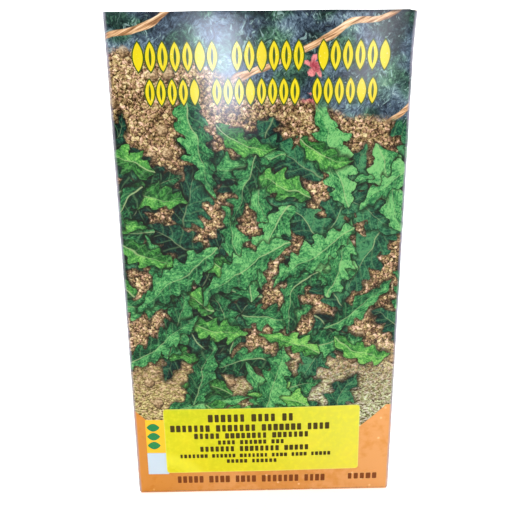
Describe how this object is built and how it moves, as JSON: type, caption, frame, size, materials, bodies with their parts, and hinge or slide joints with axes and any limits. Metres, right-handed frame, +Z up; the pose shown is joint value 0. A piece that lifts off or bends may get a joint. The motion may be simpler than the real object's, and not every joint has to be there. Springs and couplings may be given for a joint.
{
  "type": "seed carton",
  "caption": "Upright printed board carton for loose seeds, with a hinged tuck lid, dust flaps, a glued bottom, a paper label on the front and a film bag of seeds inside.",
  "frame": {"origin": "middle of the bottom face, on the surface that the carton stands on", "axes": "+Z up, -Y out of the front panel with the label, +X to the right as seen from the front"},
  "size_m": [0.1078, 0.0732, 0.19],
  "materials": {
    "board_print": "printed and gloss varnished",
    "board_back": "uncoated matt",
    "label_paper": "semi-gloss",
    "clear_film": "clear gloss film",
    "seed_coat": "dry matt"
  },
  "bodies": {
    "root": {"carton_walls": "board_print", "bottom_lid": "board_print", "bottom_dust_flap_left": "board_back", "bottom_dust_flap_right": "board_back", "front_label": "label_paper", "seed_bag": "clear_film", "seeds": "seed_coat"},
    "lid": {"lid": "board_print"},
    "tuck_flap": {"tuck_flap": "board_print"},
    "dust_flap_left": {"dust_flap_left": "board_back"},
    "dust_flap_right": {"dust_flap_right": "board_back"}
  },
  "joints": [
    {"name": "lid_crease", "type": "hinge", "parent": "root", "child": "lid", "pos_m": [0, 0.0347, 0.1897], "axis": [-1, 0, 0], "range_deg": [0, 210]},
    {"name": "tuck_crease", "type": "hinge", "parent": "lid", "child": "tuck_flap", "pos_m": [0, -0.0338, 0.1897], "axis": [-1, 0, 0], "range_deg": [-40, 6]},
    {"name": "dust_crease_left", "type": "hinge", "parent": "root", "child": "dust_flap_left", "pos_m": [-0.0527, 0, 0.1888], "axis": [0, -1, 0], "range_deg": [0, 105]},
    {"name": "dust_crease_right", "type": "hinge", "parent": "root", "child": "dust_flap_right", "pos_m": [0.0527, 0, 0.1888], "axis": [0, 1, 0], "range_deg": [0, 105]}
  ],
  "couplings": [
    {"joint": "dust_crease_left", "follows": "lid_crease", "ratio": 0.47},
    {"joint": "dust_crease_right", "follows": "lid_crease", "ratio": 0.47}
  ]
}
